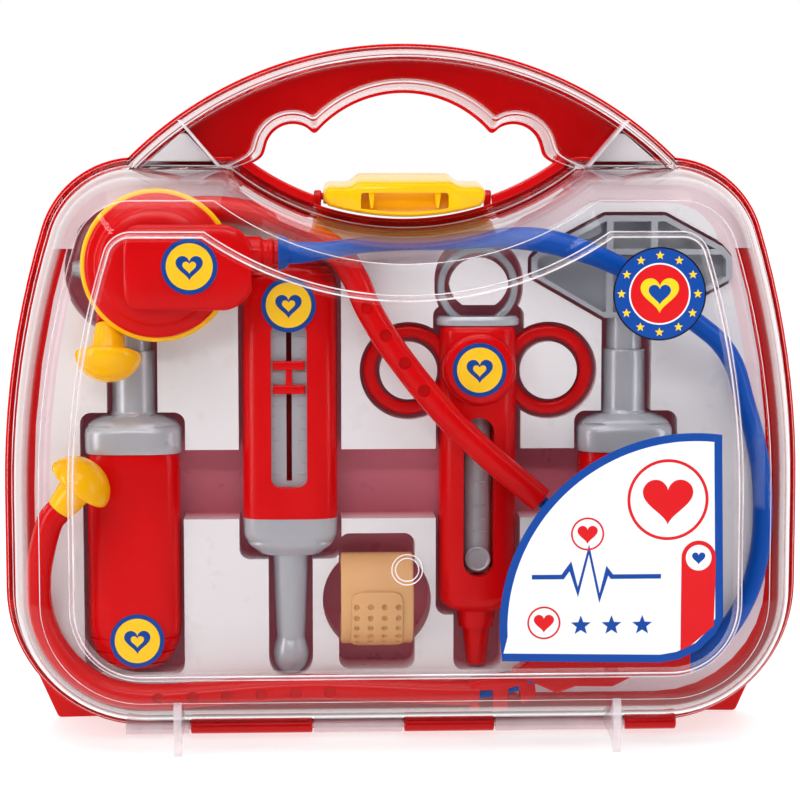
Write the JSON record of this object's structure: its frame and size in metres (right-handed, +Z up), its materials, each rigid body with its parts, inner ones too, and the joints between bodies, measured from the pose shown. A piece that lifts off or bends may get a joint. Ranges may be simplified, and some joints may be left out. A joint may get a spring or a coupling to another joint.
{
  "type": "toy doctor case",
  "caption": "Toy doctor case: red back shell and clear hinged lid that share a handle and a latch, around a formed tray of toy medical tools.",
  "frame": {"origin": "under the middle of the case, at the height of its feet, on the plane where the two shells meet", "axes": "+X along the hinge, +Y from the clear lid towards the back plate, +Z up towards the handle"},
  "size_m": [0.266, 0.0683, 0.2325],
  "materials": {
    "red_plastic": "glossy moulded plastic",
    "clear_plastic": "clear glossy moulded plastic",
    "yellow_plastic": "glossy moulded plastic",
    "blue_plastic": "glossy moulded plastic",
    "blue_tube": "smooth soft tube",
    "silver_plastic": "silver coloured satin plastic",
    "white_sheet": "thin milky formed sheet",
    "skin_plastic": "soft plastic",
    "printed_label": "printed film",
    "steel_pin": "plain"
  },
  "bodies": {
    "case": {"back_shell": "red_plastic", "hinge_pin": "steel_pin", "latch_pin": "steel_pin", "tray": "white_sheet", "chest_rim": "yellow_plastic", "chest_bell": "red_plastic", "chest_cap": "red_plastic", "tube_collar": "blue_plastic", "steth_tube": "blue_tube", "steth_yoke": "red_plastic", "left_branch_tube": "blue_tube", "right_branch_tube": "blue_tube", "arm_left": "red_plastic", "arm_right": "red_plastic", "ear_tip_left": "yellow_plastic", "ear_tip_right": "yellow_plastic", "otoscope_grip": "red_plastic", "otoscope_collar": "silver_plastic", "otoscope_head": "silver_plastic", "hammer_grip": "red_plastic", "hammer_collar": "silver_plastic", "hammer_head": "silver_plastic", "thermometer_body": "red_plastic", "thermometer_scale": "silver_plastic", "thermometer_tip": "silver_plastic", "syringe_barrel": "red_plastic", "plaster_cuff": "skin_plastic", "otoscope_badge": "printed_label", "thermometer_badge": "printed_label", "syringe_badge": "printed_label", "chest_badge": "printed_label"},
    "lid": {"front_lid": "clear_plastic", "front_label": "printed_label", "round_sticker": "printed_label"},
    "latch": {"latch": "yellow_plastic"},
    "slider": {"thermometer_slider": "red_plastic"},
    "plunger": {"syringe_plunger": "silver_plastic"}
  },
  "joints": [
    {"name": "lid_hinge", "type": "hinge", "parent": "case", "child": "lid", "pos_m": [0, 0, 0.004], "axis": [1, 0, 0], "range_deg": [0, 130]},
    {"name": "latch_pivot", "type": "hinge", "parent": "case", "child": "latch", "pos_m": [0, 0.007, 0.1823], "axis": [-1, 0, 0], "range_deg": [0, 80]},
    {"name": "thermometer_slide", "type": "slide", "parent": "case", "child": "slider", "axis": [0, 0, 1], "range_m": [-0.029, 0.0105]},
    {"name": "plunger_slide", "type": "slide", "parent": "case", "child": "plunger", "axis": [0, 0, 1], "range_m": [0, 0.0024]}
  ]
}
